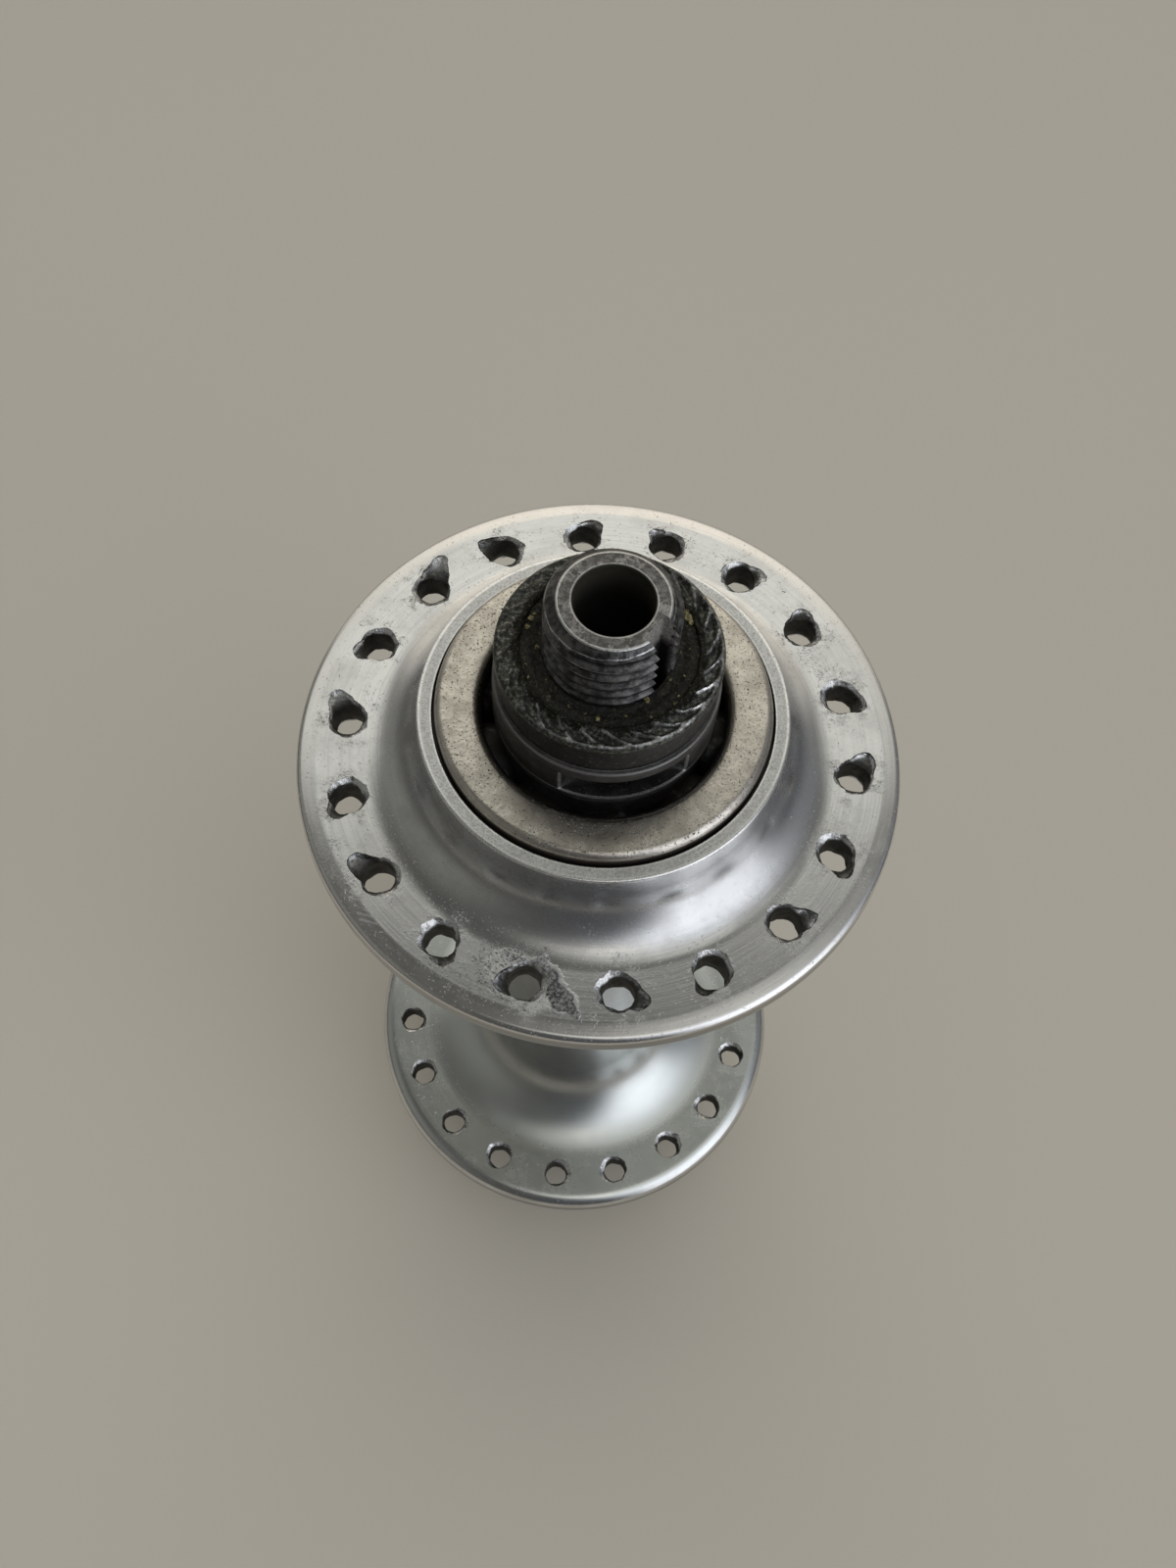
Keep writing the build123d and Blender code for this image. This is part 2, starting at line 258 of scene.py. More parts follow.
class Nodes:
    """Adds nodes to a tree, gives back their outputs, and links them to what comes next."""

    def __init__(self, tree, owner=None):
        self.tree = tree
        self.owner = owner

    def add(self, kind, settings=None, inputs=(), out=None):
        """Adds one node: its settings first, then its sockets' values or links by name or place."""
        node = self.tree.nodes.new(kind)
        for name, value in (settings or {}).items():
            if name == "choices":
                while len(node.index_switch_items) < value:
                    node.index_switch_items.new()
            else:
                setattr(node, name, value)
        shown = [socket for socket in node.inputs if socket.enabled]
        pairs = inputs.items() if isinstance(inputs, dict) else enumerate(inputs)
        for key, value in pairs:
            socket = shown[key] if isinstance(key, int) else next(s for s in shown if s.name == key)
            for item in value if isinstance(value, list) else [value]:
                if isinstance(item, Socket):
                    self.tree.links.new(item.socket, socket)
                else:
                    socket.default_value = item
        outputs = [socket for socket in node.outputs if socket.enabled]
        if not outputs:
            return node
        return Socket(self, outputs[0] if out is None else next(s for s in outputs if s.name == out))

    def geometry(self, kind, settings=None, **inputs):
        """A geometry node's first output. Its inputs' names have _ for a space."""
        return self.add("GeometryNode" + kind, settings,
                        {name.replace("_", " "): value for name, value in inputs.items()})

    def vector(self, x=0.0, y=0.0, z=0.0):
        return self.add("ShaderNodeCombineXYZ", {}, (x, y, z))

    def scaled(self, vector, scale):
        return self.add("ShaderNodeVectorMath", {"operation": "SCALE"}, {"Vector": vector, "Scale": scale})

    def rotation(self, **angles):
        return self.add("FunctionNodeEulerToRotation", {}, (self.vector(**angles),))

    def random(self, kind, low, high, seed):
        return self.add("FunctionNodeRandomValue", {"data_type": kind},
                        {"Min": low, "Max": high, "Seed": seed})

    def mixed(self, first, second, factor):
        """A colour between two, by a factor."""
        return self.add("ShaderNodeMix", {"data_type": "RGBA"}, {"A": first, "B": second, "Factor": factor})

    def layered(self, colour, *layers):
        """A colour with others laid over it, each by its factor."""
        for layer, factor in layers:
            colour = self.mixed(colour, layer, factor)
        return colour

    def noise(self, vector, scale, detail, roughness=0.5, out=None):
        return self.add("ShaderNodeTexNoise", {}, {"Vector": vector, "Scale": scale, "Detail": detail,
                                                   "Roughness": roughness}, out)

    def noises(self, vector, *kinds):
        """Several noises, each by its scale, detail and roughness."""
        return [self.noise(vector, *kind) for kind in kinds]

    def drift(self, vector, scale, detail, amount):
        """A push by a noise, as far one way as the other."""
        colour = self.noise(vector, scale, detail, out="Color")
        push = self.add("ShaderNodeVectorMath", {"operation": "SUBTRACT"}, (colour, (0.5, 0.5, 0.5)))
        return self.scaled(push, amount)

    def wear(self):
        return self.add("ShaderNodeAttribute", {"attribute_name": "wear"}, out="Fac")


# Geometry node trees
def geometry_tree(name, sizes="", **others):
    """The nodes of a new geometry tree. Its inputs are the piece, its finish and each named size or
    other value, and the nodes hold each of them under its own name."""
    tree = bpy.data.node_groups.new(name, "GeometryNodeTree")
    nodes = Nodes(tree)
    tree.interface.new_socket("piece", in_out="OUTPUT", socket_type="NodeSocketGeometry")
    kinds = {"piece": "Geometry", **dict.fromkeys(sizes.split(), "Float"), **others, "finish": "Material"}
    for word, kind in kinds.items():
        tree.interface.new_socket(word, in_out="INPUT", socket_type="NodeSocket" + kind)
    for word, socket in zip(kinds, tree.nodes.new("NodeGroupInput").outputs):
        setattr(nodes, word, Socket(nodes, socket))
    return nodes


def painted(nodes, piece, material, where=True):
    return nodes.geometry("SetMaterial", Geometry=piece, Selection=where, Material=material)


def has(nodes, material):
    """The faces that have a material already."""
    return nodes.geometry("MaterialSelection", Material=material)


def close_tree(nodes, piece, material, where=True):
    """Ends a tree: instances made real, then a material on the chosen faces."""
    piece = nodes.geometry("RealizeInstances", Geometry=piece)
    nodes.add("NodeGroupOutput", {}, (painted(nodes, piece, material, where),))
    return nodes.tree


def joined(nodes, pieces):
    """Several pieces as one, their instances made real."""
    return nodes.geometry("RealizeInstances", Geometry=nodes.geometry("JoinGeometry", Geometry=pieces))


def held_wear(nodes):
    return nodes.geometry("InputNamedAttribute", {"data_type": "FLOAT"}, Name="wear")


def stored_wear(nodes, piece, wear):
    return nodes.geometry("StoreNamedAttribute", {"data_type": "FLOAT", "domain": "POINT"},
                          Geometry=piece, Name="wear", Value=wear)


def moved(nodes, piece, position):
    return nodes.geometry("SetPosition", Geometry=piece, Position=position)


def pushed(nodes, piece, offset):
    return nodes.geometry("SetPosition", Geometry=piece, Offset=offset)


def shaken(nodes, piece, scale, detail, amount):
    """Pushes a piece's points about by a noise of so many ripples in a millimetre."""
    return pushed(nodes, piece, nodes.drift(nodes.geometry("InputPosition"), scale / MM, detail, amount * MM))


def cut_by(nodes, piece, cutters):
    return nodes.geometry("MeshBoolean", {"operation": "DIFFERENCE", "solver": "EXACT"},
                          Mesh_1=piece, Mesh_2=cutters)


def chosen(nodes, index, values):
    """One of several numbers, by its place in the list."""
    return nodes.add("GeometryNodeIndexSwitch", {"data_type": "FLOAT", "choices": len(values)},
                     (index, *(float(value) for value in values)))


def polar(nodes):
    """Distance from the axle, angle in turns, and the three parts of the position, all in metres."""
    x, y, z = nodes.geometry("InputPosition").parts()
    return (x * x + y * y) ** 0.5, y.angle_from(x) / math.tau, x, y, z


def ring_of_points(nodes, count, radius, height, turn):
    """Points round the axle, their order, and the angle at which each of them lies."""
    circle = nodes.geometry("MeshCircle", {"fill_type": "NONE"}, Vertices=count, Radius=radius)
    circle = nodes.geometry("Transform", Geometry=circle, Translation=nodes.vector(z=height),
                            Rotation=nodes.vector(z=turn))
    return circle, nodes.geometry("InputIndex"), polar(nodes)[1] * math.tau


def turning_tree():
    """Turns a closed outline about the axle. Its points hold the radius in X and the height in Z."""
    nodes = geometry_tree("turning", steps_round="Int")
    outline, steps = nodes.piece, nodes.steps_round
    points = nodes.geometry("AttributeDomainSize", {"component": "MESH"}, Geometry=outline)
    rows = points + 1
    grid = nodes.geometry("MeshGrid", Vertices_X=steps + 1, Vertices_Y=rows)
    index = nodes.geometry("InputIndex")
    place = index.modulo(rows).modulo(points)
    angle = (index / rows).maths("FLOOR") / steps * math.tau

    def sampled(kind, value):
        return nodes.geometry("SampleIndex", {"data_type": kind, "domain": "POINT"},
                              Geometry=outline, Index=place, Value=value)

    radius, _, height = sampled("FLOAT_VECTOR", nodes.geometry("InputPosition")).parts()
    piece = stored_wear(nodes, grid, sampled("FLOAT", held_wear(nodes)))
    piece = moved(nodes, piece,
                  nodes.vector(radius * angle.maths("COSINE"), radius * angle.maths("SINE"), height))
    piece = nodes.geometry("MergeByDistance", Geometry=piece, Distance=1e-6)
    return close_tree(nodes, piece, nodes.finish)


def drilling_tree():
    """Drills both flanges: round holes with flared mouths, and a groove from each outer mouth."""
    nodes = geometry_tree(
        "spoke_drilling", "circle_radius hole_radius mouth flange_height flange_thickness upper_turn "
        "lower_turn groove_radius", holes="Int", seed="Int", hole_finish="Material")
    half = nodes.flange_thickness / 2

    def cylinder(vertices, radius, depth):
        shape = nodes.geometry("MeshCylinder", {"fill_type": "NGON"}, Vertices=vertices, Side_Segments=14,
                               Radius=radius, Depth=depth)
        return shape, *polar(nodes)[2:]

    # The drill: a cylinder that flares past each face, more so on the side away from the groove
    drill, x, y, z = cylinder(28, nodes.hole_radius, half * 2 + 0.9 * MM)
    flare = (abs(z) - half + nodes.mouth).at_least(0.0)
    widen = 1 + flare / nodes.hole_radius
    drill = moved(nodes, drill, nodes.vector(x * widen - flare * 0.6, y * widen, z))

    # The groove: a blunt teardrop, 1 mm long, that lies along the flange's face where the spoke left it
    groove, x, y, z = cylinder(20, nodes.groove_radius, 1 * MM)
    way = z / MM + 0.5
    slim = (1 - way).at_least(0.002) ** 0.42
    groove = moved(nodes, groove, nodes.vector(x * slim, y * slim, way * MM))

    drills, grooves = [], []
    for side, turn in ((1, nodes.upper_turn), (-1, nodes.lower_turn)):
        circle, index, azimuth = ring_of_points(nodes, nodes.holes, nodes.circle_radius,
                                                nodes.flange_height * side, turn)
        aim = azimuth + chosen(nodes, index, [math.radians(a) for a in GROOVE_AIMS])
        drills.append(nodes.geometry("InstanceOnPoints", Points=circle, Instance=drill,
                                     Rotation=nodes.rotation(z=aim)))

        def chance(low, high, number):
            return nodes.random("FLOAT", low, high, nodes.seed + number + 10 * side)

        lift = side * (half + chance(-0.06 * MM, 0.1 * MM, 2))
        lean = side * chance(-0.05, 0.06, 3)
        stretch = nodes.vector(chance(0.5, 0.72, 4), chance(0.98, 1.16, 5),
                               chosen(nodes, index, GROOVE_REACHES))
        grooves.append(nodes.geometry("InstanceOnPoints", Points=pushed(nodes, circle, nodes.vector(z=lift)),
                                      Instance=groove, Rotation=nodes.rotation(y=math.pi / 2 - lean, z=aim),
                                      Scale=stretch))

    # The cutters' walls are a little uneven, and painted so that the cut can be told apart
    piece = painted(nodes, nodes.piece, nodes.finish)
    for cutters in (drills, grooves):
        uneven = shaken(nodes, joined(nodes, cutters), 1.1, 2.0, 0.5)
        piece = cut_by(nodes, piece, painted(nodes, uneven, nodes.hole_finish))
    return close_tree(nodes, piece, nodes.hole_finish, has(nodes, nodes.hole_finish))


def thread_tree():
    """Cuts a right-hand screw thread near the crest radius, past a height at both ends."""
    nodes = geometry_tree("screw_thread", "pitch depth crest_radius from_height")
    radius, turn, x, y, z = polar(nodes)
    ramp = (z / nodes.pitch - turn + 0.3).maths("FRACT")
    wave = abs(ramp * 2 - 1)
    crest = nodes.crest_radius - wave.step(0.1, 0.86) * nodes.depth
    cut_here = abs(z).over(nodes.from_height) * radius.over(nodes.crest_radius * 0.8)
    new_radius = radius + (radius.at_most(crest) - radius) * cut_here
    piece = moved(nodes, nodes.piece, nodes.vector(x * new_radius / radius, y * new_radius / radius, z))
    piece = stored_wear(nodes, piece, held_wear(nodes).at_least((1 - wave.step(0.0, 0.16)) * cut_here))
    return close_tree(nodes, piece, nodes.finish)


def serration_tree():
    """Presses slanted pockets into a locknut's face, with ridges between them that the fork crushed."""
    nodes = geometry_tree("serrations", "depth slant inner_radius outer_radius face_height", teeth="Int")
    inner_r, outer_r, face = nodes.inner_radius, nodes.outer_radius, nodes.face_height
    radius, turn, x, y, z = polar(nodes)
    along = (radius - inner_r) / MM
    worn = nodes.noise(nodes.geometry("InputPosition"), 0.75 / MM, 4.0)
    lean = along * nodes.slant + along * along * 2.6
    ramp = ((turn - lean / 360) * nodes.teeth + (worn - 0.5) * 0.45).maths("FRACT")
    land = abs(ramp * 2 - 1)
    bowl = 1 - land ** 2.4
    near_face = z.step(face - 0.45 * MM, face - 0.05 * MM)
    inner = radius.step(inner_r - 0.1 * MM, inner_r + 0.45 * MM)
    outer = radius.step(outer_r - 0.14 * MM, outer_r - 0.62 * MM)
    # More on the side towards the window: pockets cut deeper there, and the wear marks below stronger there
    lit_side_share = 0.35 + 0.65 * (x * 0.8 - y * 0.6).step(-4.5 * MM, 1.5 * MM)
    crushed = (worn - 0.44).at_least(0.0) * 0.7
    cut = (bowl * inner * outer * lit_side_share + crushed * inner) * nodes.depth * near_face
    piece = moved(nodes, nodes.piece, nodes.vector(x, y, z - cut))
    # Ridges and rim are marked as worn; their share on the lit side is a painted highlight
    ridge = land.step(0.52, 0.84) * worn.step(0.34, 0.48) * near_face * inner * outer * lit_side_share
    rim = radius.step(outer_r - 0.5 * MM, outer_r - 0.2 * MM) * near_face * lit_side_share
    piece = stored_wear(nodes, piece, held_wear(nodes).at_least(ridge.at_least(rim * 0.55)))
    return close_tree(nodes, piece, nodes.finish)


def milling_tree():
    """Cuts one box or two opposite ones out of a piece: a keyway or spanner flats."""
    nodes = geometry_tree("milling", "distance depth width low high turn", cuts="Int", cut_finish="Material")
    low, high, cut_finish = nodes.low, nodes.high, nodes.cut_finish
    size = nodes.vector(nodes.depth, nodes.width, high - low)
    box = nodes.geometry("MeshCube", Size=size, Vertices_X=2, Vertices_Y=9, Vertices_Z=9)
    circle, index, azimuth = ring_of_points(nodes, 4, nodes.distance + nodes.depth / 2,
                                            (low + high) / 2, nodes.turn)
    wanted = index.modulo(2).under(1) * index.under(nodes.cuts * 2 - 1)
    boxes = nodes.geometry("InstanceOnPoints", Points=circle, Selection=wanted,
                           Instance=painted(nodes, box, cut_finish), Rotation=nodes.rotation(z=azimuth))
    boxes = nodes.geometry("RealizeInstances", Geometry=boxes)
    piece = painted(nodes, nodes.piece, nodes.finish, 1 - has(nodes, cut_finish))
    return close_tree(nodes, cut_by(nodes, piece, boxes), cut_finish, has(nodes, cut_finish))


def grease_tree():
    """Lumps a ring of old grease and scatters dried specks on it, with a few larger crusts."""
    nodes = geometry_tree("old_grease", "lump specks speck_radius low crust_height", seed="Int",
                          speck_finish="Material")
    spot = nodes.geometry("InputPosition")
    above = spot.parts()[2].over(nodes.low)
    lump = (nodes.noise(spot, 1.3 / MM, 5.0, 0.65) - 0.42) * nodes.lump * above
    piece = pushed(nodes, nodes.piece, nodes.vector(z=lump))
    facing = abs(nodes.geometry("InputNormal").parts()[2]).over(0.5) * above
    points = nodes.geometry("DistributePointsOnFaces", Mesh=piece, Selection=facing,
                            Density=nodes.specks, Seed=nodes.seed)
    speck = nodes.geometry("MeshIcoSphere", Radius=nodes.speck_radius, Subdivisions=2)
    size = nodes.random("FLOAT_VECTOR", (0.3, 0.3, 0.15), (1.4, 0.9, 0.5), nodes.seed + 1)
    spin = nodes.random("FLOAT", 0.0, math.tau, nodes.seed + 2)
    clumps = [nodes.geometry("InstanceOnPoints", Points=points, Instance=speck, Scale=size,
                             Rotation=nodes.rotation(z=spin))]
    for x, y, share in CRUSTS:
        clumps.append(nodes.geometry("Transform", Geometry=speck, Scale=(share, share * 1.1, 0.9),
                                     Translation=nodes.vector(x * MM, y * MM, nodes.crust_height)))
    specks = painted(nodes, shaken(nodes, joined(nodes, clumps), 6.0, 3.0, 0.3), nodes.speck_finish)
    piece = painted(nodes, piece, nodes.finish)
    both = nodes.geometry("JoinGeometry", Geometry=[piece, specks])
    return close_tree(nodes, both, nodes.speck_finish, has(nodes, nodes.speck_finish))


# Outlines
def arc(centre, radius, start, end, steps):
    """Points on a circle of the outline's plane, angles in degrees."""
    angles = [math.radians(start + (end - start) * step / steps) for step in range(steps + 1)]
    return [(centre[0] + radius * math.cos(a), centre[1] + radius * math.sin(a)) for a in angles]


def both_halves(half):
    """An upper half outline followed by its mirror image below."""
    return half + [(r, -z, *bevel) for r, z, *bevel in reversed(half)]


def broken_edges(corners):
    """Rounds each corner that is given a third value, and marks how worn each point is."""
    points = []
    count = len(corners)
    for place, corner in enumerate(corners):
        here = Vector(corner[:2])
        if len(corner) == 2:
            points.append((here, 0.0))
            continue
        bevel = corner[2]
        before = (Vector(corners[place - 1][:2]) - here).normalized()
        after = (Vector(corners[(place + 1) % count][:2]) - here).normalized()
        points.append((here + before * bevel * EDGE_LEAD, 0.0))
        for share in (0.0, 0.25, 0.5, 0.75, 1.0):
            bend = here + before * bevel * (1 - share) ** 2 + after * bevel * share ** 2
            points.append((bend, 1.0))
        points.append((here + after * bevel * EDGE_LEAD, 0.0))
    return points


def placed(name, data):
    """A new object of the scene."""
    thing = bpy.data.objects.new(name, data)
    bpy.context.scene.collection.objects.link(thing)
    return thing


def shaped_by(piece, tree, **sizes):
    """Adds a geometry tree to a piece and sets its named inputs."""
    modifier = piece.modifiers.new(tree.name, "NODES")
    modifier.node_group = tree
    for item in tree.interface.items_tree:
        if item.in_out == "INPUT" and item.name != "piece":
            modifier[item.identifier] = sizes[item.name]


def made_plain(piece):
    """Turns a piece's modifiers into a plain closed mesh with outward faces and crisp edges."""
    depsgraph = bpy.context.evaluated_depsgraph_get()
    mesh = bpy.data.meshes.new_from_object(piece.evaluated_get(depsgraph))
    piece.modifiers.clear()
    piece.data = mesh
    work = bmesh.new()
    work.from_mesh(mesh)
    bmesh.ops.remove_doubles(work, verts=work.verts, dist=1e-7)
    bmesh.ops.recalc_face_normals(work, faces=work.faces)
    for face in work.faces:
        face.smooth = True
    for edge in work.edges:
        one_finish = len({face.material_index for face in edge.link_faces}) == 1
        edge.smooth = one_finish and edge.calc_face_angle(0.0) < math.radians(SHARP_ANGLE)
    work.to_mesh(mesh)
    work.free()
    return piece


def settle(piece, body, node=None):
    """Says which body a piece rides on, and hides the CAD node that it stands for."""
    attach(piece, body)
    if node:
        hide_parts(node)


def settle_ends(upper, body, node=None):
    """Settles an upper piece, and a copy of it turned over about X for the hub's lower end."""
    lower = placed(upper.name.replace("upper", "lower"), upper.data.copy())
    lower.data.transform(Matrix.Rotation(math.pi, 4, "X"))
    for piece, end in ((lower, "lower"), (upper, "upper")):
        settle(piece, body, node and f"{node}_{end}")


# Materials
def fresh_nodes(owner):
    """The emptied node tree of a material or of the world."""
    owner.use_nodes = True
    owner.node_tree.nodes.clear()
    return Nodes(owner.node_tree, owner)


def finish_nodes(name):
    """A new material's nodes, and Object coordinates in millimetres."""
    nodes = fresh_nodes(bpy.data.materials.new(name))
    return nodes, nodes.scaled(nodes.add("ShaderNodeTexCoord", out="Object"), 1 / MM)


def finish_with(nodes, colour, rough, metal=0.0, gloss=0.5, bumps=()):
    """Ends a material: values or links on the surface shader's sockets, and bumps stacked."""
    values = {"Base Color": colour, "Roughness": rough, "Metallic": metal, "Specular IOR Level": gloss}
    for height, depth in bumps:
        inputs = {"Height": height, "Strength": 1.0, "Distance": depth * MM}
        if "Normal" in values:
            inputs["Normal"] = values["Normal"]
        values["Normal"] = nodes.add("ShaderNodeBump", {}, inputs)
    shader = nodes.add("ShaderNodeBsdfPrincipled", {}, values)
    nodes.add("ShaderNodeOutputMaterial", {"target": "ALL"}, {"Surface": shader})
    return nodes.owner


def grey(value, warmth=0.0):
    return (value * (1 + warmth), value, value * (1 - warmth), 1.0)


def about_axle(place):
    """Radius, angle and height, in millimetres and radians."""
    x, y, z = place.parts()
    return (x * x + y * y) ** 0.5, y.angle_from(x), z


def lathe_marks(nodes, angle, across, fineness, length):
    """Fine lines round the axle: quick across, slow along, with no seam."""
    spot = nodes.vector(angle.maths("COSINE") * length, angle.maths("SINE") * length, across * fineness)
    return nodes.noise(spot, 1.0, 3.0, 0.7)


def nearest_hole(radius, angle, z):
    """Sideways, outward and whole distance from the nearest spoke hole's axis, and 1 at every second hole."""
    turn = math.radians(LOWER_TURN) + z.over(0.0) * math.radians(UPPER_TURN - LOWER_TURN)
    steps = (angle - turn) / (math.tau / SPOKE_HOLES) + 0.5
    sideways = (steps.maths("FRACT") - 0.5) * (math.tau / SPOKE_HOLES * SPOKE_CIRCLE_R)
    outward = radius - SPOKE_CIRCLE_R
    away = (sideways * sideways + outward * outward) ** 0.5
    return sideways, outward, away, abs(steps.maths("FLOOR").modulo(2))


def smear(place, start, end, wide, narrow):
    """1 on a streak between two points of the flange's face, which narrows towards its end."""
    x, y, _ = place.parts()
    way_x, way_y = end[0] - start[0], end[1] - start[1]
    along = (((x - start[0]) * way_x + (y - start[1]) * way_y) / (way_x ** 2 + way_y ** 2)).held()
    away_x = x - start[0] - along * way_x
    away_y = y - start[1] - along * way_y
    away = (away_x * away_x + away_y * away_y) ** 0.5
    return (away / (wide + along * (narrow - wide))).step(1.15, 0.6)


def shell_finish():
    nodes, place = finish_nodes("worn_polished_aluminium")
    radius, angle, z = about_axle(place)
    marks = lathe_marks(nodes, angle, radius + z, 5.5, 2.0)
    broad_marks = lathe_marks(nodes, angle, radius - z, 1.8, 1.4)
    clouds, stains, specks, grit = nodes.noises(
        place, (0.22, 5.0, 0.6), (0.75, 6.0, 0.68), (5.5, 4.0, 0.7), (8.5, 3.0, 0.6))
    outer_face = abs(z).step(FLANGE_Z, FLANGE_OUTER_Z)
    upper_face = outer_face * z.over(0.0)
    inner = abs(z).step(FLANGE_INNER_Z + 0.6, FLANGE_INNER_Z - 0.1)
    face_band = radius.step(15.5, 17.0) * abs(z).step(FLANGE_INNER_Z - 0.5, FLANGE_INNER_Z + 0.2)

    # Stipple round the holes, and a short nick across from each second hole's groove
    sideways, outward, from_hole, second = nearest_hole(radius, angle, z)
    near_hole = from_hole.step(3.0, 1.5)
    patchy = stains.step(0.48, 0.66)
    stipple = specks.step(0.53, 0.6) * grit.step(0.46, 0.56)
    dense_stipple = specks.step(0.48, 0.57) * grit.step(0.42, 0.53)
    hole_darkening = near_hole * patchy * (0.25 + stipple * 0.75) * (0.1 + 0.9 * outer_face)
    nick = (abs(sideways - 1.66 + grit * 0.12).step(0.13, 0.05) * abs(outward + 0.15).step(0.5, 0.3)
            * second * upper_face * stains.step(0.42, 0.5))
    pits = (specks.step(0.63, 0.7) * (0.25 + 0.75 * stains.step(0.42, 0.6))
            * (0.15 + 0.85 * face_band) * (0.35 + 0.65 * outer_face))

    # The corroded patch beside the front hole, and stippled smudges near it and at the left
    drift = nodes.drift(place, 1.1, 4.0, 1.3)
    ragged = nodes.add("ShaderNodeVectorMath", {"operation": "ADD"}, (place, drift))
    eaten = sum(smear(ragged, *streak) for streak in EATEN_STREAKS).held()
    eaten = eaten * upper_face * stains.step(0.3, 0.42)
    chewed = smear(ragged, *CHEWED_STREAK) * upper_face * patchy.at_least(0.35)
    smudges = sum(smear(ragged, *streak) * strength for *streak, strength in SMUDGES).held()
    scratches = sum(smear(place, *ends, *SCRATCH_WIDTHS) for ends in SCRATCHES).held()
    corrosion = (eaten * (0.5 + 0.5 * specks.step(0.42, 0.56))
                 + (smudges + chewed * 1.2).held() * upper_face * dense_stipple
                 + scratches * upper_face * stains.step(0.4, 0.55) * 0.45 + nick * 0.75).held()
    flecks = chewed * grit.step(0.5, 0.42) * specks.step(0.52, 0.44)

    dull = (clouds.step(0.42, 0.66) * 0.55 + patchy * 0.25).held()
    boss_face = abs(z).step(BOSS_TOP - 0.2, BOSS_TOP - 0.05)
    boss_nicks = boss_face * grit.step(0.54, 0.62) * stains.step(0.4, 0.55)
    boss_lip = boss_face * radius.step(BOSS_R - 0.32, BOSS_R - 0.16) * specks.step(0.34, 0.5)
    edge = radius.step(21.25, 21.8) * abs(z).step(FLANGE_Z + 0.3, FLANGE_Z + 0.9)
    rim_wall = (radius.step(22.2, 22.5) * abs(z).step(FLANGE_Z - 0.6, FLANGE_Z - 0.2)
                * abs(z).step(FLANGE_OUTER_Z - 0.4, FLANGE_OUTER_Z - 0.7))
    barrel = inner * radius.step(12.5, 9.5)
    barrel_film = (clouds.step(0.3, 0.75) * 0.5 + broad_marks.step(0.4, 0.66) * 0.3
                   + specks.step(0.55, 0.66) * 0.3)
    # Painted shade: the mouth's wall in the narrow gap round the dust cap is painted nearly black, and joins
    # the dirt, pits and corrosion in one darkening
    painted_gap_shade = (radius.step(CAP_R - 0.1, CAP_R) * radius.step(MOUTH_R + 0.05, MOUTH_R)
                * abs(z).step(*MOUTH_SHADE_Z))
    dirt_and_gap_shade = (hole_darkening * 0.7 + pits * 0.8 + corrosion * 0.92 + painted_gap_shade * 0.95 + boss_nicks * 0.28).held()
    colour = nodes.layered(
        grey(0.7),
        (grey(0.54, 0.006), dull),
        (grey(0.49), marks.step(0.42, 0.7) * (0.16 + 0.26 * face_band)),
        ((0.66, 0.685, 0.672, 1), inner),
        (nodes.mixed(grey(0.54), grey(0.38), specks.step(0.42, 0.58)), boss_face * 0.85),
        (grey(0.74, 0.015), edge * (0.6 + 0.4 * stains.step(0.35, 0.6))),
        (grey(0.24), rim_wall * 0.85),
        (grey(0.44), barrel * 0.75),
        ((0.27, 0.262, 0.245, 1), barrel * barrel_film * 0.5),
        (grey(0.9), (nodes.wear() * specks.step(0.36, 0.56) + flecks + boss_lip).held() * 0.9),
        ((0.052, 0.05, 0.045, 1), dirt_and_gap_shade))

    rough = 0.235 + dull * 0.08 + marks * 0.04 - face_band * 0.06 + inner * 0.03 + edge * 0.02 + dirt_and_gap_shade * 0.3
    return finish_with(nodes, colour, rough.held(), 1 - dirt_and_gap_shade * 0.45,
                       bumps=((marks, 0.0035), (broad_marks, 0.005), (specks, 0.003), (pits + nick, -0.03),
                              ((chewed + eaten + hole_darkening * 0.4) * specks, 0.12)))


def hole_finish():
    nodes, place = finish_nodes("spoke_hole_grime_and_shade")
    radius, angle, z = about_axle(place)
    depth = RIM_R - abs(abs(z) - FLANGE_Z)
    from_hole = nearest_hole(radius, angle, z)[2]
    lumps, fine = nodes.noises(place, (1.5, 5.0, 0.65), (7.0, 4.0, 0.65))
    # The wall darkens towards the hole's axis and with depth below the face: grime, and painted shade inside
    # the hole
    inside = (from_hole + (lumps - 0.5) * 0.3).step(1.6, 1.36)
    deep = (depth + (lumps - 0.5) * 0.3).step(0.24, 0.42) * inside
    shallow = (depth + (fine - 0.5) * 0.16).step(0.36, 0.2)
    colour = nodes.layered(
        grey(0.1),
        (grey(0.42), from_hole.step(1.5, 2.6)),
        (grey(0.05, 0.06), fine.step(0.5, 0.62) * lumps.step(0.44, 0.56) * 0.9),
        (nodes.mixed(grey(0.74), grey(0.3, 0.02), lumps.step(0.5, 0.62)), shallow),
        ((0.02, 0.019, 0.015, 1), deep),
        (grey(0.16, 0.02), fine.step(0.56, 0.68) * deep * 0.5))
    return finish_with(nodes, colour, 0.22 + deep * 0.32 + fine * 0.1, 1 - deep * 0.6,
                       bumps=((lumps, 0.1), (fine, 0.03)))


